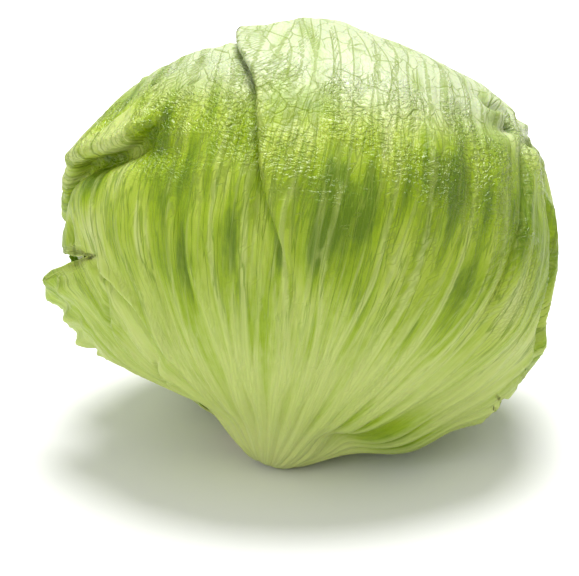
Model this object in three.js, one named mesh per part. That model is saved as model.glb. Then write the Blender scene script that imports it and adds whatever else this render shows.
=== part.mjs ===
// A head of iceberg lettuce with its loose outer leaves, resting on its underside.
//
// The head is described in its own growth frame. The growth axis runs from the heel, where every
// leaf starts, to the crown. A point on the head has two angles: "climb" is the angle from the heel
// (0) to the crown (180), and "turn" is the angle round the axis, with 0 at the front, 90 at the
// right and -90 at the left. headRadius() gives how far the packed heart reaches along a direction,
// and each wrapper leaf is a thin closed shell a fixed number of layers outside it.
//
// Units are millimetres, +Z is up, and the origin is on the flattened underside the head rests on.
import * as THREE from "three";

// ---------------------------------------------------------------- driving dimensions
const LEAF_THICKNESS = 1.0;
const LAYER_PITCH = 1.7; // from one leaf layer to the next: a leaf and the air over it
const OUTER_LAYER = 5;
const OUTSIDE = OUTER_LAYER * LAYER_PITCH + LEAF_THICKNESS; // outermost leaf face, above the heart
const FRONT_OUTSIDE = 4 * LAYER_PITCH + LEAF_THICKNESS;

// Half-sizes of the head over its front leaf: sideways, front to back, and up.
const HEAD_HALF = new THREE.Vector3(77.5, 75.0, 66.6);
const CENTRE_HEIGHT = 64; // centre above the table, less than the half-height: the underside is flat
const REST_SPOT = new THREE.Vector3(14, 12, 0); // from below the centre to the middle of the flat

const GROWTH_AXIS = new THREE.Vector3(0.166, 0.458, 0.874).normalize(); // heel to crown
const FRONT_AXIS = new THREE.Vector3(0, -1, 0)
  .addScaledVector(GROWTH_AXIS, GROWTH_AXIS.y)
  .normalize();
const SIDE_AXIS = new THREE.Vector3().crossVectors(GROWTH_AXIS, FRONT_AXIS);

// Broad swellings and hollows of the head: direction from the centre, height, and spread in degrees.
const LOBES = [
  { what: "heel", towards: [-0.15, -0.56, -0.815], height: 9.5, spread: 12 },
  { what: "right hip", towards: [0.68, -0.25, -0.62], height: 7.5, spread: 20 },
  { what: "left waist", towards: [-0.62, -0.3, -0.72], height: -9, spread: 16 },
  { what: "right shoulder", towards: [0.42, 0.25, 0.87], height: -2.5, spread: 15 },
  { what: "left shoulder", towards: [-0.72, 0.0, 0.7], height: 1.5, spread: 20 },
].map((lobe) => ({ ...lobe, towards: new THREE.Vector3(...lobe.towards).normalize() }));

// The stump of the stalk stands under the heart and its cut face looks down, just clear of the table.
const STUB = { radius: 11.5, topRadius: 10, foot: 1.2, bevel: 0.8, climb: 14, turn: 180 };
const STUB_CLEARANCE = 0.4;

// ---------------------------------------------------------------- helpers
const { degToRad, radToDeg, lerp, clamp, smoothstep } = THREE.MathUtils;

// The value at x of a line eased through stations [[x0, value0], [x1, value1], ...].
function eased(stations, x) {
  if (x <= stations[0][0]) return stations[0][1];
  for (let i = 1; i < stations.length; i++) {
    const [x0, value0] = stations[i - 1];
    const [x1, value1] = stations[i];
    if (x <= x1) return lerp(value0, value1, smoothstep(x, x0, x1));
  }
  return stations.at(-1)[1];
}

function direction(climb, turn) {
  const c = degToRad(climb);
  const t = degToRad(turn);
  return new THREE.Vector3()
    .addScaledVector(GROWTH_AXIS, -Math.cos(c))
    .addScaledVector(FRONT_AXIS, Math.sin(c) * Math.cos(t))
    .addScaledVector(SIDE_AXIS, Math.sin(c) * Math.sin(t));
}

// How far the packed heart reaches from the head's centre along a unit vector.
function headRadius(towards) {
  const half = HEAD_HALF.clone().subScalar(FRONT_OUTSIDE);
  let radius = 1 / towards.clone().divide(half).length();
  for (const lobe of LOBES) {
    const away = radToDeg(Math.acos(clamp(towards.dot(lobe.towards), -1, 1)));
    radius += lobe.height * Math.exp(-0.5 * (away / lobe.spread) ** 2);
  }
  return radius;
}

// A point on the face that lies `above` the heart, flattened where it would sink into the table.
// The layers are flattened in turn, so that they stay apart under the head.
function place(climb, turn, above, lift = 0, lowest = Math.max(0, OUTSIDE - above)) {
  const towards = direction(climb, turn);
  const point = towards.multiplyScalar(headRadius(towards) + above + lift);
  point.z = Math.max(point.z + CENTRE_HEIGHT, lowest);
  return point.sub(REST_SPOT);
}

// A closed mesh from the two faces of a sheet, each a grid[row][column] of points, and its rim.
function closedSheet(outer, inner) {
  const rows = outer.length;
  const columns = outer[0].length;
  const points = [...outer.flat(), ...inner.flat()];
  const at = (row, column, face) => face * rows * columns + row * columns + column;
  const index = [];
  const quad = (a, b, c, d) => index.push(a, b, c, a, c, d);
  for (let r = 0; r + 1 < rows; r++) {
    for (let c = 0; c + 1 < columns; c++) {
      quad(at(r, c, 0), at(r, c + 1, 0), at(r + 1, c + 1, 0), at(r + 1, c, 0));
      quad(at(r, c, 1), at(r + 1, c, 1), at(r + 1, c + 1, 1), at(r, c + 1, 1));
    }
  }
  const rim = [];
  for (let c = 0; c < columns - 1; c++) rim.push([0, c]);
  for (let r = 0; r < rows - 1; r++) rim.push([r, columns - 1]);
  for (let c = columns - 1; c > 0; c--) rim.push([rows - 1, c]);
  for (let r = rows - 1; r > 0; r--) rim.push([r, 0]);
  rim.forEach(([r, c], i) => {
    const [nextR, nextC] = rim[(i + 1) % rim.length];
    quad(at(r, c, 1), at(nextR, nextC, 1), at(nextR, nextC, 0), at(r, c, 0));
  });
  return new THREE.BufferGeometry().setFromPoints(points).setIndex(index);
}

// ---------------------------------------------------------------- leaves
// left and right give the turn of a leaf's side edges at each climb, measured from its midrib, and
// top gives the climb of its upper edge across the leaf, from -1 at the left edge to 1 at the right.
const LEAVES = {
  front_leaf: {
    layer: 4,
    midrib: 0,
    base: 5,
    left: [[5, -100], [20, -82], [35, -86], [52, -93], [68, -101], [76, -93], [84, -86], [110, -82]],
    right: [[5, 100], [20, 92], [40, 104], [62, 110], [90, 108], [130, 100], [168, 96]],
    top: [[-1, 104], [-0.85, 122], [-0.66, 143], [-0.56, 150], [-0.4, 162], [0.3, 168], [0.8, 160], [1, 142]],
    // The lower left edge stands away from the head as a loose flap.
    lift: (climb, turn) =>
      14 * smoothstep(-turn, 70, 102) * smoothstep(climb, 44, 68) * (1 - smoothstep(climb, 70, 80)),
    // Only the heel itself comes down to the table.
    lowest: (climb, above) => lerp(FRONT_OUTSIDE, OUTSIDE, smoothstep(climb, 16, 30)) - above,
    columns: 26,
    rows: 18,
    colour: 0xa3bd4f,
  },
  back_leaf: {
    layer: 5,
    midrib: 180,
    base: 31,
    left: [[31, -40], [44, -62], [60, -70], [100, -74], [150, -66]],
    right: [[31, 46], [44, 68], [60, 66], [100, 62], [150, 60]],
    top: [[-1, 128], [-0.5, 148], [0.1, 154], [0.6, 146], [1, 122]],
    columns: 18,
    rows: 14,
    colour: 0x9cb84b,
  },
  right_leaf: {
    layer: 3,
    midrib: 116,
    base: 27,
    left: [[27, -22], [44, -50], [70, -60], [120, -62], [150, -56]],
    right: [[27, 22], [44, 44], [70, 52], [120, 54], [150, 48]],
    top: [[-1, 132], [-0.4, 150], [0.3, 156], [1, 136]],
    columns: 16,
    rows: 13,
    colour: 0x97b544,
  },
  left_leaf: {
    layer: 2,
    midrib: -112,
    base: 27,
    left: [[27, -24], [44, -48], [70, -60], [120, -64], [150, -60]],
    right: [[27, 26], [44, 50], [70, 60], [120, 62], [150, 58]],
    top: [[-1, 138], [-0.3, 154], [0.4, 158], [1, 150]],
    columns: 16,
    rows: 13,
    colour: 0x93b23f,
  },
  crown_leaf: {
    layer: 1,
    midrib: -20,
    base: 96,
    left: [[96, -70], [130, -92], [172, -96]],
    right: [[96, 70], [130, 92], [172, 96]],
    top: [[-1, 166], [0, 173], [1, 166]],
    columns: 16,
    rows: 10,
    colour: 0xb4cc6a,
  },
};

function leafMesh(name, leaf) {
  const face = (above) => {
    const grid = [];
    for (let r = 0; r <= leaf.rows; r++) {
      const row = [];
      for (let c = 0; c <= leaf.columns; c++) {
        const across = (2 * c) / leaf.columns - 1;
        const climb = lerp(leaf.base, eased(leaf.top, across), r / leaf.rows);
        const edge = across < 0 ? eased(leaf.left, climb) : eased(leaf.right, climb);
        const turn = leaf.midrib + Math.abs(across) * edge;
        const lift = leaf.lift ? leaf.lift(climb, turn) : 0;
        const lowest = leaf.lowest ? leaf.lowest(climb, above) : undefined;
        row.push(place(climb, turn, above, lift, lowest));
      }
      grid.push(row);
    }
    return grid;
  };
  const inner = leaf.layer * LAYER_PITCH;
  const geometry = closedSheet(face(inner + LEAF_THICKNESS), face(inner));
  return sheetMesh(name, geometry, leaf.colour);
}

function sheetMesh(name, geometry, color) {
  geometry.computeVertexNormals();
  const material = new THREE.MeshStandardMaterial({ color, roughness: 0.45, metalness: 0 });
  const mesh = new THREE.Mesh(geometry, material);
  mesh.name = name;
  return mesh;
}

// ---------------------------------------------------------------- heart
// The inner leaves are packed into one ball, so the heart is a single solid with a flat underside.
const HEART = { rings: 17, segments: 26, footClimb: 8 };

function heartMesh() {
  const points = [];
  const rings = [];
  for (let r = 0; r <= HEART.rings; r++) {
    const climb = lerp(HEART.footClimb, 180, r / HEART.rings);
    const ring = [];
    const atCrown = r === HEART.rings;
    for (let s = 0; s < (atCrown ? 1 : HEART.segments); s++) {
      ring.push(points.length);
      points.push(place(climb, (360 * s) / HEART.segments, 0));
    }
    rings.push(ring);
  }
  const footCentre = rings[0].reduce((sum, i) => sum.add(points[i]), new THREE.Vector3());
  const foot = points.length;
  points.push(footCentre.divideScalar(HEART.segments));
  const index = [];
  const n = HEART.segments;
  for (let s = 0; s < n; s++) {
    const next = (s + 1) % n;
    index.push(foot, rings[0][next], rings[0][s]);
    for (let r = 0; r + 1 < HEART.rings; r++) {
      index.push(rings[r][s], rings[r][next], rings[r + 1][next]);
      index.push(rings[r][s], rings[r + 1][next], rings[r + 1][s]);
    }
    index.push(rings[HEART.rings - 1][s], rings[HEART.rings - 1][next], rings[HEART.rings][0]);
  }
  const geometry = new THREE.BufferGeometry().setFromPoints(points).setIndex(index);
  return sheetMesh("heart", geometry, 0xc3d488);
}

// ---------------------------------------------------------------- cut stub
function stubMesh() {
  const { radius, topRadius, foot, bevel, climb, turn } = STUB;
  const length = OUTSIDE - STUB_CLEARANCE - foot;
  const profile = [
    new THREE.Vector2(0, 0),
    new THREE.Vector2(radius - bevel, 0),
    new THREE.Vector2(radius, bevel),
    new THREE.Vector2(topRadius, length),
    new THREE.Vector2(0, length),
  ];
  const mesh = sheetMesh("cut_stub", new THREE.LatheGeometry(profile, 28), 0xd9d2a6);
  mesh.rotateX(Math.PI / 2);
  mesh.position.copy(place(climb, turn, 0)).setZ(foot);
  return mesh;
}

// ---------------------------------------------------------------- assembly
const lettuce = new THREE.Group();
lettuce.name = "iceberg_lettuce";
lettuce.add(heartMesh(), stubMesh());
for (const [name, leaf] of Object.entries(LEAVES)) lettuce.add(leafMesh(name, leaf));

export default lettuce;
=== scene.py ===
# %% [markdown]
# # A head of iceberg lettuce
# The head is a packed heart wrapped in broad, ribbed leaves, all growing from one cut stub. The
# loaded frame holds plain solids at their real size. This lesson grows a finished leaf around each
# of them: a sheet with ribs, veins, folds and a torn edge.

# %% Load the frame
import math

import bpy
import numpy as np
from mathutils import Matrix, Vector


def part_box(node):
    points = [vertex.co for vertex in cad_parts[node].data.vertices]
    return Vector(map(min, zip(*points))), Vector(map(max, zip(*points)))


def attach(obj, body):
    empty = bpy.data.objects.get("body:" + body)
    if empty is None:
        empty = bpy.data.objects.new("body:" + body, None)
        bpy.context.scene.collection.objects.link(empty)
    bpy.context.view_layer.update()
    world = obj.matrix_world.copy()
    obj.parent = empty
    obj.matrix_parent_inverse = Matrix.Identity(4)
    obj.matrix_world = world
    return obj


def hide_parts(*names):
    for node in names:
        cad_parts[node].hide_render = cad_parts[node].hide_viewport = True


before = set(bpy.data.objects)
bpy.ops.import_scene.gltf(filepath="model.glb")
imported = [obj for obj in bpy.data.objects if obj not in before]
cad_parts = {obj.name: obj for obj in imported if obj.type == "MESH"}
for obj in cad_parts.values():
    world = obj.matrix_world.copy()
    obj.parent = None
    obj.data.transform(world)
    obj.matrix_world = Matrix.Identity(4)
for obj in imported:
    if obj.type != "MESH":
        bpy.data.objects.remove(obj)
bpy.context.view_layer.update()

# %% [markdown]
# ## The head's own coordinates
# A leaf is easiest to describe along the head's growth. "Climb" is the angle from the heel, where
# the leaves start, up to the crown, and "turn" is the angle round the growth axis, with 0 at the
# front and 90 at the right. The head is an ellipsoid with a few broad swellings. Its middle is
# found across from the heart that the frame gives, and set at a given height above the table.

# %% Head shape
MM = 0.001
HALF = np.array([77.5, 75.0, 66.6])  # half-sizes over the front leaf, in millimetres
CENTRE_HEIGHT = 64.0  # the head's middle above the table
RADIUS = 70.0  # mean radius, for turning degrees into millimetres of leaf


def unit(v):
    v = np.asarray(v, float)
    return v / np.linalg.norm(v, axis=-1, keepdims=True)


GROWTH = unit([0.166, 0.458, 0.874])
FRONT = unit(np.array([0, -1, 0]) + GROWTH[1] * GROWTH)
SIDE = np.cross(GROWTH, FRONT)

SWELLINGS = (  # direction from the middle, height in mm, spread in degrees
    ("heel", (-0.15, -0.56, -0.815), 9.5, 12),
    ("right hip", (0.68, -0.25, -0.62), 7.5, 20),
    ("left waist", (-0.62, -0.3, -0.72), -9.0, 16),
    ("right shoulder", (0.42, 0.25, 0.87), -2.5, 15),
    ("left shoulder", (-0.72, 0.0, 0.7), 1.5, 20),
)


def direction(climb, turn):
    c, t = np.radians(climb)[..., None], np.radians(turn)[..., None]
    return -np.cos(c) * GROWTH + np.sin(c) * (np.cos(t) * FRONT + np.sin(t) * SIDE)


def head_reach(towards):
    """How far the front leaf's face lies from the middle of the head, in mm."""
    reach = 1 / np.linalg.norm(towards / HALF, axis=-1)
    for _, centre, height, spread in SWELLINGS:
        away = np.degrees(np.arccos(np.clip(towards @ unit(centre), -1, 1)))
        reach = reach + height * np.exp(-0.5 * (away / spread) ** 2)
    return reach


heart_low, heart_high = (np.array(c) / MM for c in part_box("heart"))
MIDDLE = np.array([*(heart_low + heart_high)[:2] / 2, CENTRE_HEIGHT])
print("middle of the head, mm:", MIDDLE.round(1))

# %% [markdown]
# ## Small tools for natural shapes
# Leaves are never even, so smooth noise is needed. It is made from random numbers on a lattice,
# blended with an S-curve, and its seed is fixed, so that each run grows the same head.

# %% Noise and curves


def ease(x, low, high):
    """0 below low, 1 above high, smooth between them."""
    x = np.clip((x - low) / (high - low), 0, 1)
    return x * x * (3 - 2 * x)


def bell(x, centre, width):
    return np.exp(-(((x - centre) / width) ** 2))


def along(stations, x):
    """The value at x of a smooth line through stations (x, value)."""
    xs, values = np.array(stations, float).T
    x = np.clip(x, xs[0], xs[-1])
    i = np.clip(np.searchsorted(xs, x) - 1, 0, len(xs) - 2)
    slopes = np.gradient(values, xs)
    span = xs[i + 1] - xs[i]
    t = (x - xs[i]) / span
    h00, h10 = 2 * t**3 - 3 * t**2 + 1, t**3 - 2 * t**2 + t
    h01, h11 = -2 * t**3 + 3 * t**2, t**3 - t**2
    return h00 * values[i] + h10 * span * slopes[i] + h01 * values[i + 1] + h11 * span * slopes[i + 1]


def noise(x, y, seed):
    """Smooth noise from -1 to 1 over the plane, with a lattice step of 1."""
    lattice = np.random.default_rng(seed).uniform(-1, 1, (64, 64))
    x, y = np.broadcast_arrays(x, y)
    xi, yi = np.floor(x).astype(int), np.floor(y).astype(int)
    xf, yf = x - xi, y - yi
    xf, yf = xf * xf * (3 - 2 * xf), yf * yf * (3 - 2 * yf)
    left, right = xi % 64, (xi + 1) % 64
    below, above = yi % 64, (yi + 1) % 64
    low = lattice[left, below] * (1 - xf) + lattice[right, below] * xf
    high = lattice[left, above] * (1 - xf) + lattice[right, above] * xf
    return low * (1 - yf) + high * yf


def rough(x, y, seed, octaves=3):
    return sum(noise(x * 2**k, y * 2**k, seed + k) / 2**k for k in range(octaves))


# %% [markdown]
# ## Ribs that fork
# In a lettuce leaf the ribs leave the heel side by side, thick and pale, then thin out and fork on
# their way up. Each rib is a line of turn against climb. A branch starts on its parent and bends
# away from it, and is thinner. The ribs are grown by this rule, so no two leaves are alike.

# %% Grow ribs
CLIMBS = np.arange(0, 181)


def fan(climb):
    """How far the ribs have opened out. Past the widest part they run straight on and don't meet."""
    narrowing = np.where(climb > 90, np.clip(np.sin(np.radians(climb)), 0.34, 1), 1)
    return (0.6 + 0.4 * ease(climb, 6, 98)) / narrowing


class Rib:
    def __init__(self, turn, start, end, width):
        self.turn, self.start, self.end, self.width = turn, start, end, width


def grow_ribs(seed, low_turn, high_turn, count):
    rng = np.random.default_rng(seed)
    ribs = []

    def wander(size):
        return size * noise(CLIMBS / 26, rng.uniform(0, 60), int(rng.integers(1e6)))

    def fork(parent, depth):
        if depth == 0:
            return
        first = parent.start + rng.uniform(14, 34)
        for side, at in ((-1, first), (1, first + rng.uniform(4, 20))):
            if at > 140 or rng.random() < 0.12:
                continue
            opening = rng.uniform(3.2, 6.4)  # degrees between a branch and its parent
            bend = opening * (1 - np.exp(-np.clip(CLIMBS - at, 0, None) / 16))
            turn = parent.turn + (side * bend + wander(1.3) * ease(CLIMBS, at, at + 20)) * fan(CLIMBS)
            branch = Rib(turn, at, min(176, at + rng.uniform(45, 90)), parent.width * 0.72)
            ribs.append(branch)
            fork(branch, depth - 1)

    midrib = (low_turn + high_turn) / 2
    for i in range(count):
        out = (high_turn - low_turn) * ((i + 0.5 + rng.uniform(-0.22, 0.22)) / count - 0.5)
        stem = Rib(midrib + out * fan(CLIMBS) + wander(2.6), 0, 176, rng.uniform(0.75, 1.2))
        ribs.append(stem)
        fork(stem, 3)
    return ribs


def rib_fields(ribs, climb, turn):
    """At each point: how much rib stands there (0 to 1), and the signed distance to the nearest rib, mm."""
    girth = RADIUS * np.sin(np.radians(climb)) + 1.5  # never quite zero at the poles
    body = np.zeros_like(climb)
    nearest = np.full_like(climb, 99.0)
    for rib in ribs:
        centre = np.interp(climb, CLIMBS, rib.turn)
        offset = np.radians(turn - centre) * girth
        width = rib.width * (0.6 + 1.5 * np.exp(-((climb / 62) ** 2)))
        alive = ease(climb, rib.start - 1, rib.start + 5) * (1 - ease(climb, rib.end - 14, rib.end))
        body = np.maximum(body, alive * np.exp(-((offset / width) ** 2)) * rib.width)
        closer = (np.abs(offset) < np.abs(nearest)) & (climb >= rib.start) & (climb <= rib.end)
        nearest = np.where(closer, offset, nearest)
    return body, nearest


# %% [markdown]
# ## Making a leaf
# A leaf starts as a grid primitive. Each of its points is then placed by the leaf's rule: the grid's
# two directions become climb and turn, the edges follow the leaf's outline, and the point is set
# out from the head by the relief. Setting points by rule suits a leaf better than moving them by
# hand, because ribs, veins and colour can all share one set of numbers. A Solidify modifier then
# gives the sheet its thickness, and it is applied.

# %% Leaf maker
LEAF_THICKNESS = 0.55  # mm
UV_PER_MM = 0.01  # one unit of the leaf's UV map is 100 mm of leaf
UV_GIRTH = 65.0  # mm, the radius used across the leaf


def deselect_all():
    if bpy.context.object and bpy.context.object.mode != "OBJECT":
        bpy.ops.object.mode_set(mode="OBJECT")
    bpy.ops.object.select_all(action="DESELECT")


def apply_modifiers(piece):
    deselect_all()
    piece.select_set(True)
    bpy.context.view_layer.objects.active = piece
    for modifier in list(piece.modifiers):
        bpy.ops.object.modifier_apply(modifier=modifier.name)


def store(mesh, name, values):
    attribute = mesh.attributes.new(name, "FLOAT", "POINT")
    attribute.data.foreach_set("value", np.asarray(values, np.float32).ravel())


def place_points(piece, points_mm):
    points = np.asarray(points_mm, float).reshape(-1, 3) * MM
    piece.data.vertices.foreach_set("co", points.ravel())
    piece.location = (0, 0, 0)
    piece.data.update()


def leaf_sheet(name, rows, columns, outline, relief, midrib=0.0, layer=0.0):
    """Grows one leaf.

    outline(along, across) gives climb and turn; relief(climb, turn, along, across) gives the rise over
    the head in mm, a shift of climb and of turn in degrees, and the fields for the material.
    """
    deselect_all()
    bpy.ops.mesh.primitive_grid_add(x_subdivisions=columns, y_subdivisions=rows, size=1)
    piece = bpy.context.object
    piece.name = piece.data.name = name
    flat = np.empty(len(piece.data.vertices) * 3)
    piece.data.vertices.foreach_get("co", flat)
    flat = flat.reshape(-1, 3)
    across, upward = flat[:, 0] * 2, flat[:, 1] + 0.5
    climb, turn = outline(upward, across)
    rise, climb_shift, turn_shift, fields = relief(climb, turn, upward, across)
    towards = direction(climb + climb_shift, turn + turn_shift)
    points = towards * (head_reach(towards) - layer + rise)[:, None] + MIDDLE
    points[:, 2] = np.maximum(points[:, 2], 0)
    place_points(piece, points)
    for field, values in fields.items():
        store(piece.data, field, values)
    uv = piece.data.uv_layers.active or piece.data.uv_layers.new()
    uv.name = "leaf"
    corner = np.empty(len(piece.data.loops), int)
    piece.data.loops.foreach_get("vertex_index", corner)
    spread_out = np.radians((turn - midrib) / fan(climb)) * UV_GIRTH
    plane = np.stack([spread_out, np.radians(climb) * RADIUS], axis=1) * UV_PER_MM
    uv.data.foreach_set("uv", plane[corner].astype(np.float32).ravel())
    faces_out(piece, points)
    thick = piece.modifiers.new("Thickness", "SOLIDIFY")
    thick.thickness = LEAF_THICKNESS * MM
    thick.offset = -1
    apply_modifiers(piece)
    bpy.ops.object.shade_smooth()
    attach(piece, "root")
    print(name, "faces:", len(piece.data.polygons))
    return piece


def faces_out(piece, points):
    """Turns the sheet's faces to look away from the middle of the head."""
    mesh = piece.data
    normals = np.empty(len(mesh.polygons) * 3)
    mesh.polygons.foreach_get("normal", normals)
    centres = np.empty(len(mesh.polygons) * 3)
    mesh.polygons.foreach_get("center", centres)
    outward = centres.reshape(-1, 3) - MIDDLE * MM
    if (normals.reshape(-1, 3) * outward).sum() < 0:
        mesh.flip_normals()


# %% [markdown]
# ## The leaf's surface
# The tissue between the ribs is never flat. It swells a little between them, breaks into small
# blisters in the middle of the blade, and carries streaks of deeper green that follow the ribs.
# These fields are worked out once per leaf and stored on its points for the material to read.

# %% Shared surface rule


def swell(climb, turn):
    """The broad pleats and hollows, which all the leaves share because they lie on each other."""
    strand = turn / fan(climb) / 6
    body = ease(climb, 26, 66)
    rise = 1.2 * rough(strand / 2.8, climb / 36, 100) * body
    rise += 1.9 * (np.abs(noise(strand / 1.7, climb / 34, 105)) - 0.33) * body
    rise += 1.0 * noise(turn / 19, climb / 15, 108) * body
    return rise * (1 - 0.5 * ease(climb, 112, 140))


def tissue(climb, turn, seed, ribs, midrib):
    """Relief in mm and the stored fields that every leaf has."""
    rib, nearest = rib_fields(ribs, climb, turn)
    girth = np.sin(np.radians(climb))
    strand = (turn - midrib) / fan(climb) / 6  # runs with the ribs
    low = 1 - ease(climb, 26, 74)
    high = ease(climb, 100, 128)
    relief = (rib - 0.75) * (0.5 + 1.1 * low) * (1 - 0.5 * high) + swell(climb, turn)
    relief += 0.7 * (np.abs(noise(strand / 0.7, climb / 18, seed + 7)) - 0.33) * ease(climb, 50, 84)
    blister = ease(climb, 84, 100) * (1 - ease(climb, 120, 136))
    blister = blister * ease(noise(turn / 9, climb / 10, seed + 12), -0.5, 0.3)
    sway = 1.6 * noise(turn / 5, climb / 5, seed + 20)
    slant = (climb + turn * girth * 0.5) / 4 - sway
    pucker = np.abs(noise(turn * girth / 2.8 + sway, slant, seed + 6)) - 0.33
    relief += 0.6 * pucker * (0.25 + 0.75 * blister) * ease(climb, 40, 80)
    streak = 0.3 * noise(strand, climb / 26, seed + 9) + 0.25 * noise(strand * 4.2, climb / 13, seed + 10)
    streak += 0.7 * ease(noise(strand * 1.9, climb / 19, seed + 13), -0.35, 0.45) - 0.35
    streak += 0.6 * noise(turn / 13, climb / 13, seed + 11)
    away_from_pole = 1 - ease(climb, 146, 170)
    streak, relief = streak * away_from_pole, relief * (0.2 + 0.8 * away_from_pole)
    # The '- 0.5 * high' term makes the leaf paler towards the crown. This is partly paler tissue and mostly
    # a painted sheen of the overhead light.
    green = ease(climb, 34, 84) * (0.6 + 0.8 * streak) - 0.5 * high
    fields = dict(rib=rib, vein=nearest, gap=np.abs(nearest))
    fields.update(green=green, blister=blister, climb=climb / 180)
    return relief, fields


def patch(climb, turn, centre_climb, centre_turn, tall, wide, lean=0.0):
    """A soft oval, 1 in its middle, leaning by so many degrees of turn per degree of climb."""
    girth = np.sin(np.radians(centre_climb))
    off = (turn - centre_turn - lean * (climb - centre_climb)) * girth
    return np.exp(-((off / wide) ** 2) - ((climb - centre_climb) / tall) ** 2)


# %% [markdown]
# ## The front leaf
# This is the outermost leaf and nearly all that the front shows. It has two folds. The pleat runs
# from the crown down the left of the middle, where the right part of the blade laps over the left
# part. The tuck runs across the upper left, where the blade rolls over and hangs as a lip above a
# hollow. In both, the points beside the fold are slid under or over it, so that the sheet really
# doubles back. The lower left edge stands off the head as a torn flap.

# %% Front leaf outline
PLEAT = (
    (40, 8), (63, -2), (75, -7.6), (86, -12.2), (96, -15.4),
    (107, -18.5), (121, -24.5), (134, -38), (148, -53), (176, -70),
)
TUCK = ((-120, 84), (-82, 90), (-76, 95.5), (-67, 98.5), (-59, 101), (-52, 104), (-47, 108), (-38, 114))
FRONT_LEFT = (
    (3, -100), (20, -85), (35, -84), (52, -87), (64, -91),
    (71, -92), (80, -96), (90, -97), (125, -96),
)
FRONT_RIGHT = (
    (3, 100), (20, 94), (38, 86), (52, 80), (60, 78),
    (68, 81), (78, 92), (90, 104), (130, 100), (168, 96),
)
FRONT_TOP = (
    (-1, 112), (-0.8, 122), (-0.62, 131), (-0.5, 137), (-0.44, 148),
    (-0.3, 160), (0.3, 168), (0.8, 160), (1, 142),
)


def torn(x, seed, size):
    """A ragged edge: small teeth with a few deeper nicks."""
    teeth = noise(x * 0.5, 0.3, seed) + 0.6 * noise(x * 1.5, 7.7, seed + 1)
    teeth += 0.3 * noise(x * 3.7, 3.1, seed + 2)
    return size * teeth


def front_outline(upward, across):
    top = along(FRONT_TOP, across)
    climb = 3 + (top - 3) * upward
    turn = np.where(across < 0, -across * along(FRONT_LEFT, climb), across * along(FRONT_RIGHT, climb))
    rim = ease(np.abs(across), 0.86, 1)
    ragged = np.where(across < 0, bell(climb, 62, 16), bell(climb, 60, 12))
    turn += rim * torn(climb / 1.7, 31, 1.2 + 2.8 * ragged) * ease(climb, 36, 50)
    notch = 25 * np.clip(1 - np.abs(climb - 72.6) / 3.2, 0, 1) ** 0.8
    turn += np.where(across < 0, ease(-across, 0.62, 1) * notch, 0)
    return climb, turn


# %% Front leaf relief
front_ribs = grow_ribs(7, -104, 108, 19)
print("ribs and branches in the front leaf:", len(front_ribs))


def pleat_fold(climb, turn):
    """The long overlap: the right part rises over the left, and its edge is slid across it."""
    girth = RADIUS * np.sin(np.radians(climb))
    side = np.radians(turn - along(PLEAT, climb)) * girth
    strength = ease(climb, 56, 98) * 0.85 + ease(climb, 96, 130) * 0.15
    rise = strength * (3.2 * ease(side, -0.6, 1.6) * (1 - 0.8 * ease(side, 2, 34)))
    rise -= strength * 2.0 * bell(side, -2.4, 2.8)
    rise += 0.8 * strength * bell(side, 1.8, 1.6)
    slide = -4.4 * strength * ease(climb, 58, 92)
    slide = slide * ease(side, -0.8, 1.1) * (1 - ease(side, 1.1, 16)) * (1 - ease(climb, 140, 153))
    return rise, np.degrees(slide / girth), side, strength


def tuck_fold(climb, turn):
    """The rolled lip on the upper left, which hangs over a hollow and fades out to the right."""
    side = np.radians(climb - along(TUCK, np.clip(turn, -119, -39))) * RADIUS
    strength = ease(-turn, 45, 62) * (1 - 0.75 * ease(-turn, 74, 88))
    rise = strength * 4.2 * ease(side, -0.8, 1.8) * (1 - 0.85 * ease(side, 2, 15))
    rise += strength * 1.6 * bell(side, 2.6, 2.6)
    rise -= strength * 5.2 * bell(side, -3.4, 4.6)
    slide = -5.0 * strength * ease(side, -1.0, 1.2) * (1 - ease(side, 1.2, 16))
    return rise, np.degrees(slide / RADIUS), side, strength


CREASES = (  # line of (climb, turn), first and last climb, depth in mm
    (((50, -45), (62, -53), (70, -63)), 47, 72, 2.6),
    (((55, -64), (62, -61)), 53, 64, 1.6),
    (((37, -57), (47, -49)), 37, 48, 1.8),
    (((104, -68), (112, -63), (121, -59)), 105, 121, 1.6),
    (((106, -56), (122, -44)), 106, 122, 1.0),
    (((62, -30), (84, -37)), 60, 86, 1.2),
    (((66, -8), (104, -25)), 66, 104, 0.8),
    (((66, 78), (84, 70), (106, 68)), 70, 106, 2.2),
    (((72, 46), (96, 52), (112, 58)), 74, 112, 1.4),
)
HOLLOWS = (  # climb, turn, rise in mm, tall, wide, lean
    (85, -66, 2.4, 8, 13, 0.0),  # the lobe under the tuck
    (98, -50, -2.8, 4.5, 12, -0.4),  # the hollow that runs from the tuck into the blade
    (24, -50, -2.6, 8, 12, 0.0),
    (47, -76, 3.0, 10, 18, 0.0),
    (25, 36, -4.2, 5, 6, 0.0),  # the valley beside the heel
    (35, 64, 3.4, 8, 12, 0.0),  # the bulge that meets the table
    (78.5, -74, -5.0, 2.6, 1.6, 0.0),  # the nick near the left edge
    (103, -70, 1.4, 5, 7, 0.0),
    (127.5, 55, -3.5, 1.3, 2.8, 0.5),  # the small pits on the right shoulder
    (123, 60, -3.5, 2.2, 1.5, -0.4),
    (118.5, 69, -3.5, 1.5, 3.2, 0.6),
)
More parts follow.
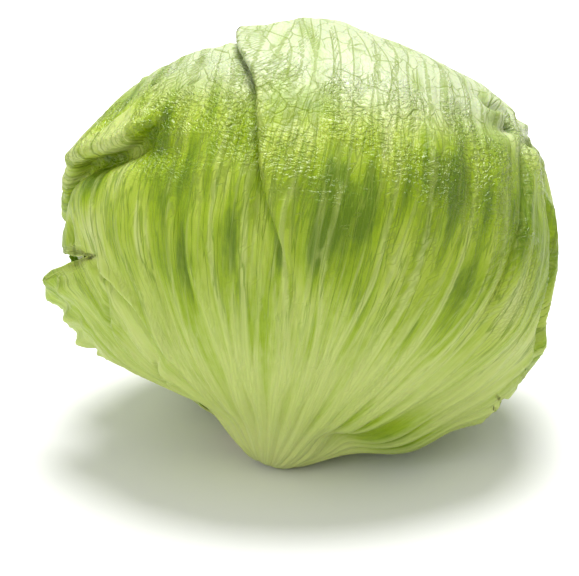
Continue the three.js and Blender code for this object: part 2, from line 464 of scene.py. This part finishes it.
GREENS = (  # climb, turn, strength, tall, wide, lean
    (121, -2, 0.6, 4, 5, 0.0),
    (114, -6, 0.6, 3, 4, 0.0),
    # painted shade: darker green along the crease left of the middle
    (74, -33, 0.5, 11, 3.5, -0.25),
    (101, 24, 0.45, 12, 12, 0.0),
    (100, 38, 0.55, 9, 10, 0.0),
    (82, 3, 0.4, 12, 5, 0.0),
    # painted shade: darker green over the hollow that runs from the tuck into the blade
    (101, -45, 0.25, 5, 12, 0.0),
    # painted shade: darker green on the bulge where it meets the table
    (34, 62, 0.9, 9, 20, 0.0),
    (70, 64, -0.7, 15, 20, 0.0),
    # painted sheen: paler on the upper right, where the overhead light shines
    (136, 34, -0.5, 14, 22, 0.0),
    # This paler tone is partly the leaf's own paler green and partly painted light lifting the shade in the
    # hollow under the tuck.
    (96, -62, -0.5, 12, 14, 0.0),
    (78, -50, -0.4, 12, 12, 0.0),
    (109, 6, -0.4, 8, 26, 0.0),
    # painted shade: darker green in the three small pits on the right shoulder
    (127.5, 55, 1.2, 1.3, 2.8, 0.5),
    (123, 60, 1.2, 2.2, 1.5, -0.4),
    (118.5, 69, 1.2, 1.5, 3.2, 0.6),
)


def flap(climb, turn):
    """1 at the edge of the torn flap on the lower left, 0 over the rest of the leaf."""
    return ease(-turn, 64, 92) * ease(climb, 36, 64) * (1 - ease(climb, 69.5, 74))


def front_folds(climb, turn):
    """Everything that is folded, pressed or lifted in the front leaf, in mm."""
    rise = pleat_fold(climb, turn)[0] + tuck_fold(climb, turn)[0] - 2.4 * (1 - ease(climb, 12, 32))
    for at_climb, at_turn, height, tall, wide, lean in HOLLOWS:
        rise += height * patch(climb, turn, at_climb, at_turn, tall, wide, lean)
    for line, low, high, depth in CREASES:
        side = np.radians(turn - along(line, climb)) * RADIUS * np.sin(np.radians(climb))
        window = ease(climb, low - 3, low + 4) * (1 - ease(climb, high - 4, high + 3))
        rise -= window * depth * (bell(side, 0, 1.1) - 0.7 * bell(side, 3.4, 2.4))
    rise += flap(climb, turn) * (8.5 + 3.2 * noise(turn / 6, climb / 3.0, 55))
    rise += 3.2 * ease(turn, 64, 82) * ease(climb, 44, 56) * (1 - ease(climb, 70, 80))
    up, over = climb - 123, (turn - 66) * 0.8  # the gathers that spread from the shoulder's pits
    rays = np.sin(np.arctan2(up, over) * 7) * ease(np.hypot(up, over), 2, 8)
    return rise + 2.3 * rays * patch(climb, turn, 122, 64, 12, 14)


def front_relief(climb, turn, upward, across):
    rise, fields = tissue(climb, turn, 100, front_ribs, 2)
    _, pleat_slide, pleat_side, pleat_strength = pleat_fold(climb, turn)
    _, tuck_slide, tuck_side, tuck_strength = tuck_fold(climb, turn)
    # Painted highlight: the tuck's rolled lip is made paler where it faces the overhead light.
    green = fields["green"] - 0.9 * tuck_strength * bell(tuck_side, 4, 6)
    # Painted shade: darker green along the valley side of the pleat.
    green += 0.7 * pleat_strength * bell(pleat_side, -1.4, 1.5)
    # Painted shadow: darker green just under the tuck's lip.
    green += 0.5 * tuck_strength * bell(tuck_side, -1.6, 1.8)
    # Painted highlight along the pleat's lapping edge, and painted light showing through the thin torn
    # flap.
    green -= 0.35 * pleat_strength * bell(pleat_side, 2, 2) + 0.25 * flap(climb, turn)
    for at_climb, at_turn, strength, tall, wide, lean in GREENS:
        green += strength * patch(climb, turn, at_climb, at_turn, tall, wide, lean)
    fields["green"] = green
    fields["blister"] = np.clip(fields["blister"] + patch(climb, turn, 110, -26, 10, 7), 0, 1)
    return rise + front_folds(climb, turn), tuck_slide, pleat_slide, fields


def pressed(climb, turn):
    """How far the front leaf's hollows push in whatever lies under it, in mm."""
    return np.minimum(front_folds(climb, turn), 0) * (1 - ease(np.abs(turn), 84, 100))


front_leaf = leaf_sheet("front_blade", 214, 214, front_outline, front_relief)
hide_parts("front_leaf")

# %% [markdown]
# ## The leaves behind
# The other wrapper leaves are seen at the edges, at the back and from below. They follow the same
# rule with their own ribs and outlines, each one layer nearer to the heart or further out. The
# front leaf's hollows are passed on to them, since real leaves are pressed into each other. The
# crown leaf lies deepest and closes the top of the head like a cap.

# %% Other leaves


def simple_leaf(name, midrib, base, left, right, top, layer, seed, rows, columns, rib_count, flare=2.0):
    """A leaf without folds. left and right give its half-width by climb, top gives its tip by across."""
    ribs = grow_ribs(seed, midrib - 80, midrib + 80, rib_count)

    def outline(upward, across):
        tear = torn(across * 16, seed + 3, 1.6) * (1 - ease(along(top, across), 160, 175))
        climb = base + (along(top, across) + tear - base) * upward
        left_edge = along(left, climb) - torn(climb / 2.2, seed + 1, 2.0) * ease(climb, 40, 60)
        right_edge = along(right, climb) + torn(climb / 2.4, seed + 2, 2.0) * ease(climb, 40, 60)
        turn = midrib + np.where(across < 0, -across * left_edge, across * right_edge)
        return climb, turn

    def relief(climb, turn, upward, across):
        rise, fields = tissue(climb, turn, seed, ribs, midrib)
        edge = np.maximum(ease(np.abs(across), 0.86, 1), ease(upward, 0.9, 1))
        rise += flare * edge * (0.4 + 0.6 * noise(turn / 8, climb / 8, seed + 4))
        if layer > 0:
            rise += pressed(climb, turn)
        return rise, 0 * climb, 0 * climb, fields

    return leaf_sheet(name, rows, columns, outline, relief, midrib, layer)


back_leaf = simple_leaf(
    "back_blade", 180, 24,
    ((24, -40), (44, -62), (60, -72), (100, -78), (150, -66)),
    ((24, 46), (44, 68), (60, 70), (100, 68), (150, 60)),
    ((-1, 128), (-0.5, 148), (0.1, 156), (0.6, 148), (1, 122)),
    layer=-2.0, seed=200, rows=150, columns=170, rib_count=18,
)
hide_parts("back_leaf")

right_leaf = simple_leaf(
    "right_blade", 116, 18,
    ((18, -30), (44, -50), (70, -62), (120, -64), (150, -58)),
    ((18, 30), (44, 46), (70, 54), (120, 58), (150, 52)),
    ((-1, 138), (-0.4, 156), (0.3, 162), (1, 142)),
    layer=2.6, seed=300, rows=120, columns=120, rib_count=14, flare=0.8,
)
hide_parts("right_leaf")

left_leaf = simple_leaf(
    "left_blade", -112, 18,
    ((18, -34), (44, -50), (70, -62), (120, -66), (150, -60)),
    ((18, 36), (44, 54), (70, 62), (120, 64), (150, 60)),
    ((-1, 142), (-0.3, 158), (0.4, 162), (1, 152)),
    layer=4.4, seed=400, rows=120, columns=120, rib_count=14, flare=0.8,
)
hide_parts("left_leaf")

crown_leaf = simple_leaf(
    "crown_blade", -30, 92,
    ((92, -62), (125, -110), (145, -179), (180, -180)),
    ((92, 70), (125, 110), (145, 179), (180, 180)),
    ((-1, 179.5), (0, 179.5), (1, 179.5)),
    layer=6.2, seed=500, rows=90, columns=180, rib_count=22, flare=0.0,
)
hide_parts("crown_leaf")

# %% [markdown]
# ## The heart
# The inner leaves are packed too tightly to tell apart, so the heart is one closed ball under the
# wrappers. Single leaves could be packed inside, but none would ever be seen. So a sphere primitive
# is set to the head's own shape, a few layers in, with a gentle wrinkle.

# %% Heart
HEART_DEPTH = 9.0


def make_heart():
    deselect_all()
    bpy.ops.mesh.primitive_uv_sphere_add(segments=120, ring_count=80, radius=1)
    heart = bpy.context.object
    heart.name = heart.data.name = "packed_heart"
    flat = np.empty(len(heart.data.vertices) * 3)
    heart.data.vertices.foreach_get("co", flat)
    towards = unit(flat.reshape(-1, 3))
    climb = np.degrees(np.arccos(np.clip(-towards @ GROWTH, -1, 1)))
    turn = np.degrees(np.arctan2(towards @ SIDE, towards @ FRONT))
    wrinkle = 0.8 * noise(turn / 12, climb / 24, 601) * np.sin(np.radians(climb))
    wrinkle = wrinkle + pressed(climb, turn)
    points = towards * (head_reach(towards) - HEART_DEPTH + wrinkle)[:, None] + MIDDLE
    points[:, 2] = np.maximum(points[:, 2], heart_low[2])
    place_points(heart, points)
    green = 0.25 + 0.2 * noise(turn / 9, climb / 20, 602)
    none, far = np.zeros_like(climb), np.full_like(climb, 99.0)
    fields = dict(rib=none, vein=far, gap=far, green=green, blister=none, climb=climb / 180)
    for name, values in fields.items():
        store(heart.data, name, values)
    heart.data.uv_layers.active.name = "leaf"
    bpy.ops.object.shade_smooth()
    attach(heart, "root")
    return heart


heart = make_heart()
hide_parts("heart")

# %% [markdown]
# ## The cut stub
# The stalk was cut through when the head was picked. The stump is a short, slightly tapered
# cylinder. Its cut face is dished and ringed where the sap has dried, so the face is inset a few
# times and the rings are pushed in and out.

# %% Stub


def make_stub():
    low, high = (np.array(c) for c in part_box("cut_stub"))
    radius, height = (high - low)[0] / 2, (high - low)[2]
    deselect_all()
    centre = tuple((low + high) / 2)
    bpy.ops.mesh.primitive_cylinder_add(vertices=72, radius=radius, depth=height, location=centre)
    stub = bpy.context.object
    stub.name = stub.data.name = "stalk_stump"
    bpy.ops.object.mode_set(mode="EDIT")
    bpy.ops.mesh.select_mode(type="FACE")
    bpy.ops.mesh.select_all(action="DESELECT")
    bpy.ops.object.mode_set(mode="OBJECT")
    for face in stub.data.polygons:
        face.select = face.normal.z < -0.9
    bpy.ops.object.mode_set(mode="EDIT")
    for width, dip in ((0.0012, 0.0), (0.0018, 0.0007), (0.0022, -0.0003), (0.0024, 0.0008)):
        bpy.ops.mesh.inset(thickness=width, depth=0)
        bpy.ops.transform.translate(value=(0, 0, dip))
    bpy.ops.object.mode_set(mode="OBJECT")
    bpy.ops.object.transform_apply(location=True, rotation=True, scale=True)
    bevel = stub.modifiers.new("Edges", "BEVEL")
    bevel.width, bevel.segments = 0.0006, 3
    round_off = stub.modifiers.new("Smooth", "SUBSURF")
    round_off.levels = round_off.render_levels = 1
    apply_modifiers(stub)
    bpy.ops.object.shade_smooth_by_angle(angle=math.radians(40))
    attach(stub, "root")
    return stub


stub = make_stub()
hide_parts("cut_stub")
print("stub faces:", len(stub.data.polygons))

# %% [markdown]
# ## Leaf material
# Fresh lettuce is waxy and lets light through, so the shader has some subsurface light and a satin
# gloss. Plain colours would look like plastic. Here the colour is mixed from a pale rib, a light
# green, a middle green and a deep green, by the stored green field and a noise drawn out along the
# ribs. The crown fades to a pale tone that is partly paler tissue and partly a painted sheen of the
# overhead light. The heel fades to a pale tone that is partly paler tissue and partly painted light
# from the table, which lifts the shade under the head. Veins are drawn where the stored distance to a
# rib is nearly zero, and thin threads run between them. Low on the leaf the threads are pale, a
# painted highlight on fine ridges, and higher up they are darker veins. The net near the crown is a
# Voronoi pattern stretched along the ribs. The same masks feed a bump, so that veins catch the light.

# %% Leaf shader


class Nodes:
    """Adds shader nodes with few words."""

    def __init__(self, name):
        self.material = bpy.data.materials.new(name)
        self.material.use_nodes = True
        self.tree = self.material.node_tree
        self.shader = self.tree.nodes["Principled BSDF"]

    def add(self, kind, inputs=(), **settings):
        node = self.tree.nodes.new(kind)
        for key, value in settings.items():
            setattr(node, key, value)
        for key, value in dict(inputs).items():
            self.feed(value, node.inputs[key])
        return node

    def feed(self, value, socket):
        if isinstance(value, bpy.types.NodeSocket):
            self.tree.links.new(value, socket)
        else:
            socket.default_value = value

    def field(self, name):
        return self.add("ShaderNodeAttribute", attribute_name=name).outputs["Fac"]

    def math(self, operation, a, b=0.0):
        node = self.add("ShaderNodeMath", {0: a, 1: b}, operation=operation)
        return node.outputs[0]

    def ramp(self, value, low, high, out_low=0.0, out_high=1.0):
        node = self.add(
            "ShaderNodeMapRange",
            {"Value": value, "From Min": low, "From Max": high, "To Min": out_low, "To Max": out_high},
            interpolation_type="SMOOTHSTEP",
        )
        return node.outputs[0]

    def mix(self, factor, a, b, blend="MIX"):
        node = self.add("ShaderNodeMix", data_type="RGBA", blend_type=blend)
        self.feed(factor, node.inputs[0])
        self.feed(a, node.inputs[6])
        self.feed(b, node.inputs[7])
        return node.outputs[2]


def srgb(r, g, b):
    """A colour given as 0 to 255 screen values, as the shader's linear light."""
    linear = [c / 3294.6 if c <= 10.3 else ((c / 255 + 0.055) / 1.055) ** 2.4 for c in (r, g, b)]
    return (*linear, 1.0)


def leaf_material(
    name, rib_colour, light, middle, deep, vein_colour, thread_dark, crown_tone_and_sheen, heel_tone_and_bounce_light, seed
):
    n = Nodes(name)
    uv = n.add("ShaderNodeUVMap", uv_map="leaf").outputs[0]
    offset = n.add("ShaderNodeMapping", {"Vector": uv, "Location": (seed, seed * 0.7, 0)}).outputs[0]
    warp = n.add("ShaderNodeTexNoise", {"Vector": offset, "Scale": 12.0, "Detail": 2.0}).outputs["Color"]
    warped = n.add("ShaderNodeVectorMath", {0: warp, 1: (0.06, 0.06, 0)}, operation="MULTIPLY").outputs[0]
    moved = n.add("ShaderNodeVectorMath", {0: offset, 1: warped}, operation="ADD").outputs[0]

    def net(scale, tall, width):
        stretched = n.add("ShaderNodeMapping", {"Vector": moved, "Scale": (1, tall, 1)}).outputs[0]
        grid = {"Vector": stretched, "Scale": scale}
        cells = n.add("ShaderNodeTexVoronoi", grid, feature="DISTANCE_TO_EDGE")
        return n.ramp(cells.outputs["Distance"], 0.0, width, 1.0, 0.0)

    rib, green, blister, climb = n.field("rib"), n.field("green"), n.field("blister"), n.field("climb")
    upper = n.ramp(climb, 0.48, 0.66)
    near = n.math("ABSOLUTE", n.field("vein"))
    same_rib = n.ramp(n.field("gap"), 0.7, 1.1, 1.0, 0.0)
    on_vein = n.math("MULTIPLY", n.ramp(near, 0.12, 0.4, 1.0, 0.0), same_rib)
    on_vein = n.math("MULTIPLY", on_vein, n.ramp(climb, 0.3, 0.6, 0.25, 1.0))
    on_vein = n.math("MULTIPLY", on_vein, n.ramp(climb, 0.86, 0.94, 1.0, 0.0))
    near_pole = n.ramp(climb, 0.9, 0.98, 1.0, 0.0)
    patchy = n.add("ShaderNodeTexNoise", {"Vector": offset, "Scale": 7.0, "Detail": 2.0}).outputs["Fac"]
    upper = n.math("MULTIPLY", n.math("MULTIPLY", upper, near_pole), n.ramp(patchy, 0.35, 0.6, 0.35, 1.0))
    coarse = n.math("MULTIPLY", net(20.0, 0.5, 0.05), upper)
    fine = n.math("MULTIPLY", net(52.0, 0.6, 0.09), n.ramp(climb, 0.36, 0.6))
    blotches = {"Vector": offset, "Scale": 26.0, "Detail": 5.0, "Roughness": 0.65}
    mottle = n.add("ShaderNodeTexNoise", blotches)
    drawn = n.add("ShaderNodeMapping", {"Vector": offset, "Scale": (1, 0.07, 1)}).outputs[0]
    fibre_noise = {"Vector": drawn, "Scale": 60.0, "Detail": 4.0, "Roughness": 0.7}
    fibre = n.add("ShaderNodeTexNoise", fibre_noise).outputs["Fac"]
    strand_noise = {"Vector": drawn, "Scale": 26.0, "Detail": 3.0, "Roughness": 0.6}
    strand = n.add("ShaderNodeTexNoise", strand_noise).outputs["Fac"]
    thread = n.ramp(n.math("ABSOLUTE", n.math("SUBTRACT", strand, 0.5)), 0.0, 0.026, 1.0, 0.0)
    span = n.math("MULTIPLY", n.ramp(climb, 0.2, 0.34), n.ramp(climb, 0.54, 0.68, 1.0, 0.0))
    thread = n.math("MULTIPLY", thread, span)
    spread = n.math("ADD", n.math("MULTIPLY", mottle.outputs["Fac"], 0.4), n.math("MULTIPLY", fibre, 1.1))
    shade = n.math("ADD", green, n.math("SUBTRACT", spread, 0.75))
    blade = n.math("MULTIPLY", n.ramp(climb, 0.26, 0.44), n.ramp(climb, 0.6, 0.7, 1.0, 0.3))
    blade = n.math("MULTIPLY", blade, n.ramp(shade, -0.55, 0.05))
    pale_part = n.mix(blade, rib_colour, light)
    colour = n.mix(n.ramp(shade, -0.1, 0.6), pale_part, middle)
    colour = n.mix(n.ramp(shade, 0.45, 1.05), colour, deep)
    pale = n.math("MULTIPLY", n.ramp(rib, 0.3, 0.9), n.ramp(climb, 0.36, 0.58, 0.8, 0.4))
    colour = n.mix(pale, colour, rib_colour)
    valley = n.math("MULTIPLY", n.ramp(rib, 0.05, 0.45, 1.0, 0.0), n.ramp(climb, 0.2, 0.45, 0.3, 0.0))
    colour = n.mix(valley, colour, middle)
    # Low on the leaf the threads are pale, a painted highlight on fine ridges. Higher up they take the
    # darker veins' own colour.
    thread_vein_and_glint_colour = n.mix(n.ramp(climb, 0.26, 0.4), rib_colour, thread_dark)
    colour = n.mix(n.math("MULTIPLY", thread, 0.7), colour, thread_vein_and_glint_colour)
    # Painted light: the heel is made paler. This is partly its own pale tissue and partly painted light
    # from the table, which lifts the shade under the head.
    colour = n.mix(n.ramp(climb, 0.03, 0.2, 0.6, 0.0), colour, heel_tone_and_bounce_light)
    # Painted sheen: the crown mix whitens the top of every leaf. This is partly the paler tissue there and
    # partly a painted sheen of the overhead light.
    crown = n.math("MULTIPLY", n.ramp(climb, 0.6, 0.71), n.ramp(shade, 0.1, 0.8, 0.9, 0.35))
    colour = n.mix(crown, colour, crown_tone_and_sheen)
    colour = n.mix(n.math("MULTIPLY", on_vein, 0.6), colour, vein_colour)
    colour = n.mix(n.math("MULTIPLY", coarse, 0.7), colour, vein_colour)
    colour = n.mix(n.math("MULTIPLY", fine, 0.16), colour, vein_colour)

    grain = n.add("ShaderNodeTexNoise", {"Vector": moved, "Scale": 74.0, "Detail": 2.0}).outputs["Fac"]
    puckers = n.math("MULTIPLY", n.math("MULTIPLY", n.ramp(grain, 0.4, 0.66), blister), 1.1)
    height = n.math("ADD", puckers, n.math("MULTIPLY", coarse, -0.3))
    height = n.math("ADD", height, n.math("MULTIPLY", fine, -0.1))
    height = n.math("ADD", height, n.math("MULTIPLY", on_vein, -0.25))
    height = n.math("ADD", height, n.math("MULTIPLY", thread, n.ramp(climb, 0.26, 0.4, 0.35, -0.3)))
    height = n.math("ADD", height, n.math("MULTIPLY", fibre, n.ramp(climb, 0.5, 0.68, 0.9, 0.25)))
    height = n.math("ADD", height, n.math("MULTIPLY", mottle.outputs["Fac"], 0.45))
    bump = n.add("ShaderNodeBump", {"Height": height, "Strength": 0.6, "Distance": 0.0009})
    n.feed(colour, n.shader.inputs["Base Color"])
    n.feed(bump.outputs[0], n.shader.inputs["Normal"])
    n.feed(n.ramp(blister, 0.0, 1.0, 0.42, 0.22), n.shader.inputs["Roughness"])
    n.shader.inputs["Specular IOR Level"].default_value = 0.3
    n.shader.inputs["Subsurface Weight"].default_value = 0.25
    n.shader.inputs["Subsurface Radius"].default_value = (0.6, 1.0, 0.15)
    n.shader.inputs["Subsurface Scale"].default_value = 0.002
    return n.material


# The crown tone is partly paler tissue and partly painted sheen. The heel tone is partly paler tissue and
# partly painted light bounced from the table.
CROWN_TONE_AND_SHEEN, HEEL_TONE_AND_BOUNCE_LIGHT = srgb(191, 202, 164), srgb(220, 228, 148)
OUTER = leaf_material(
    "Outer leaf", srgb(184, 198, 112), srgb(166, 186, 64), srgb(140, 166, 16), srgb(90, 118, 0),
    srgb(118, 138, 36), srgb(112, 140, 18), CROWN_TONE_AND_SHEEN, HEEL_TONE_AND_BOUNCE_LIGHT, 0.0,
)
WRAPPER = leaf_material(
    "Wrapper leaf", srgb(180, 196, 106), srgb(162, 184, 62), srgb(136, 162, 16), srgb(88, 116, 0),
    srgb(112, 134, 30), srgb(108, 136, 16), CROWN_TONE_AND_SHEEN, HEEL_TONE_AND_BOUNCE_LIGHT, 3.1,
)
INNER = leaf_material(
    "Inner leaf", srgb(190, 206, 122), srgb(176, 194, 84), srgb(150, 174, 48), srgb(104, 134, 10),
    srgb(126, 148, 40), srgb(126, 150, 34), CROWN_TONE_AND_SHEEN, HEEL_TONE_AND_BOUNCE_LIGHT, 5.7,
)
HEART = leaf_material(
    "Heart", srgb(206, 216, 150), srgb(190, 206, 120), srgb(176, 194, 96), srgb(130, 156, 44),
    srgb(142, 162, 60), srgb(146, 166, 60), CROWN_TONE_AND_SHEEN, HEEL_TONE_AND_BOUNCE_LIGHT, 9.3,
)

# %% [markdown]
# ## Stub finish
# A cut stalk dries to a pale tan with faint rings. Noise gives the dry blotches, and a wave texture
# centred on the stub gives the rings.

# %% Stub shader


def stub_material():
    n = Nodes("Cut stalk")
    place = n.add("ShaderNodeTexCoord").outputs["Object"]
    low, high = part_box("cut_stub")
    middle = [-(a + b) / 2 for a, b in zip(low, high)]
    centred = n.add("ShaderNodeMapping", {"Vector": place, "Location": middle}).outputs[0]
    wave = {"Vector": centred, "Scale": 90.0, "Distortion": 3.0, "Detail": 3.0}
    rings = n.add("ShaderNodeTexWave", wave, wave_type="RINGS", rings_direction="Z")
    dry = n.add("ShaderNodeTexNoise", {"Vector": centred, "Scale": 180.0, "Detail": 5.0}).outputs["Fac"]
    colour = n.mix(n.ramp(dry, 0.35, 0.65), srgb(212, 200, 150), srgb(176, 146, 92))
    colour = n.mix(n.math("MULTIPLY", rings.outputs["Fac"], 0.35), colour, srgb(150, 116, 66))
    bump = n.add("ShaderNodeBump", {"Height": dry, "Strength": 0.5, "Distance": 0.0006})
    n.feed(colour, n.shader.inputs["Base Color"])
    n.feed(bump.outputs[0], n.shader.inputs["Normal"])
    n.shader.inputs["Roughness"].default_value = 0.7
    return n.material


def paint(piece, material):
    piece.data.materials.clear()
    piece.data.materials.append(material)


for piece, material in (
    (front_leaf, OUTER), (back_leaf, OUTER), (right_leaf, WRAPPER), (left_leaf, WRAPPER),
    (crown_leaf, INNER), (heart, HEART), (stub, stub_material()),
):
    paint(piece, material)
print("materials:", sorted(material.name for material in bpy.data.materials))

# %% [markdown]
# ## Table, light and camera
# The head lies on a plain white table. A wide soft light hangs above and slightly behind it, so
# that the crown is bright, the front is in gentle shade and the shadow is soft.

# %% Stage
HEAD = MIDDLE * MM


def make_floor():
    deselect_all()
    bpy.ops.mesh.primitive_plane_add(size=8)
    floor = bpy.context.object
    floor.name = "Table"
    n = Nodes("Table white")
    n.shader.inputs["Base Color"].default_value = (0.9, 0.9, 0.9, 1)
    n.shader.inputs["Roughness"].default_value = 0.9
    paint(floor, n.material)


def soft_light(name, place, size, power):
    deselect_all()
    bpy.ops.object.light_add(type="AREA", location=tuple(HEAD + np.array(place)))
    light = bpy.context.object
    light.name = name
    light.data.shape, light.data.size, light.data.energy = "DISK", size, power
    look = -np.array(place)
    aim(light, look)


def aim(thing, look):
    thing.rotation_euler = Vector(tuple(look)).to_track_quat("-Z", "Y").to_euler()


make_floor()
soft_light("Overhead", (0.05, 0.4, 1.25), 0.8, 24)
soft_light("Front fill", (-0.9, -1.5, 0.7), 1.2, 8)
world = bpy.data.worlds.new("Studio")
world.use_nodes = True
world.node_tree.nodes["Background"].inputs["Color"].default_value = (1, 1, 1, 1)
world.node_tree.nodes["Background"].inputs["Strength"].default_value = 0.6
bpy.context.scene.world = world
bpy.context.scene.view_settings.view_transform = "Standard"

# %% [markdown]
# ## Camera
# The camera looks slightly down on the heel side, from far enough away that the head keeps its
# shape. The view is a little off the head's middle, so that the shadow has room.

# %% Camera
CAMERA_TILT = math.radians(20)
CAMERA_DISTANCE = 0.9
SENSOR_WIDTH = 36  # mm
VIEW_SHIFT, VIEW_DROP = -0.0056, -0.0169
FRAME_WIDTH = 0.184  # of the view at the head
look = np.array([0, math.cos(CAMERA_TILT), -math.sin(CAMERA_TILT)])
upward = np.array([0, math.sin(CAMERA_TILT), math.cos(CAMERA_TILT)])
middle_of_view = HEAD + np.array([VIEW_SHIFT, 0, 0]) + VIEW_DROP * upward
camera_data = bpy.data.cameras.new("Camera")
camera = bpy.data.objects.new("Camera", camera_data)
bpy.context.scene.collection.objects.link(camera)
camera_data.sensor_width = SENSOR_WIDTH
camera_data.lens = SENSOR_WIDTH * CAMERA_DISTANCE / FRAME_WIDTH
camera.location = tuple(middle_of_view - look * CAMERA_DISTANCE)
aim(camera, look)
bpy.context.scene.camera = camera
print("camera lens, mm:", round(camera_data.lens, 1))
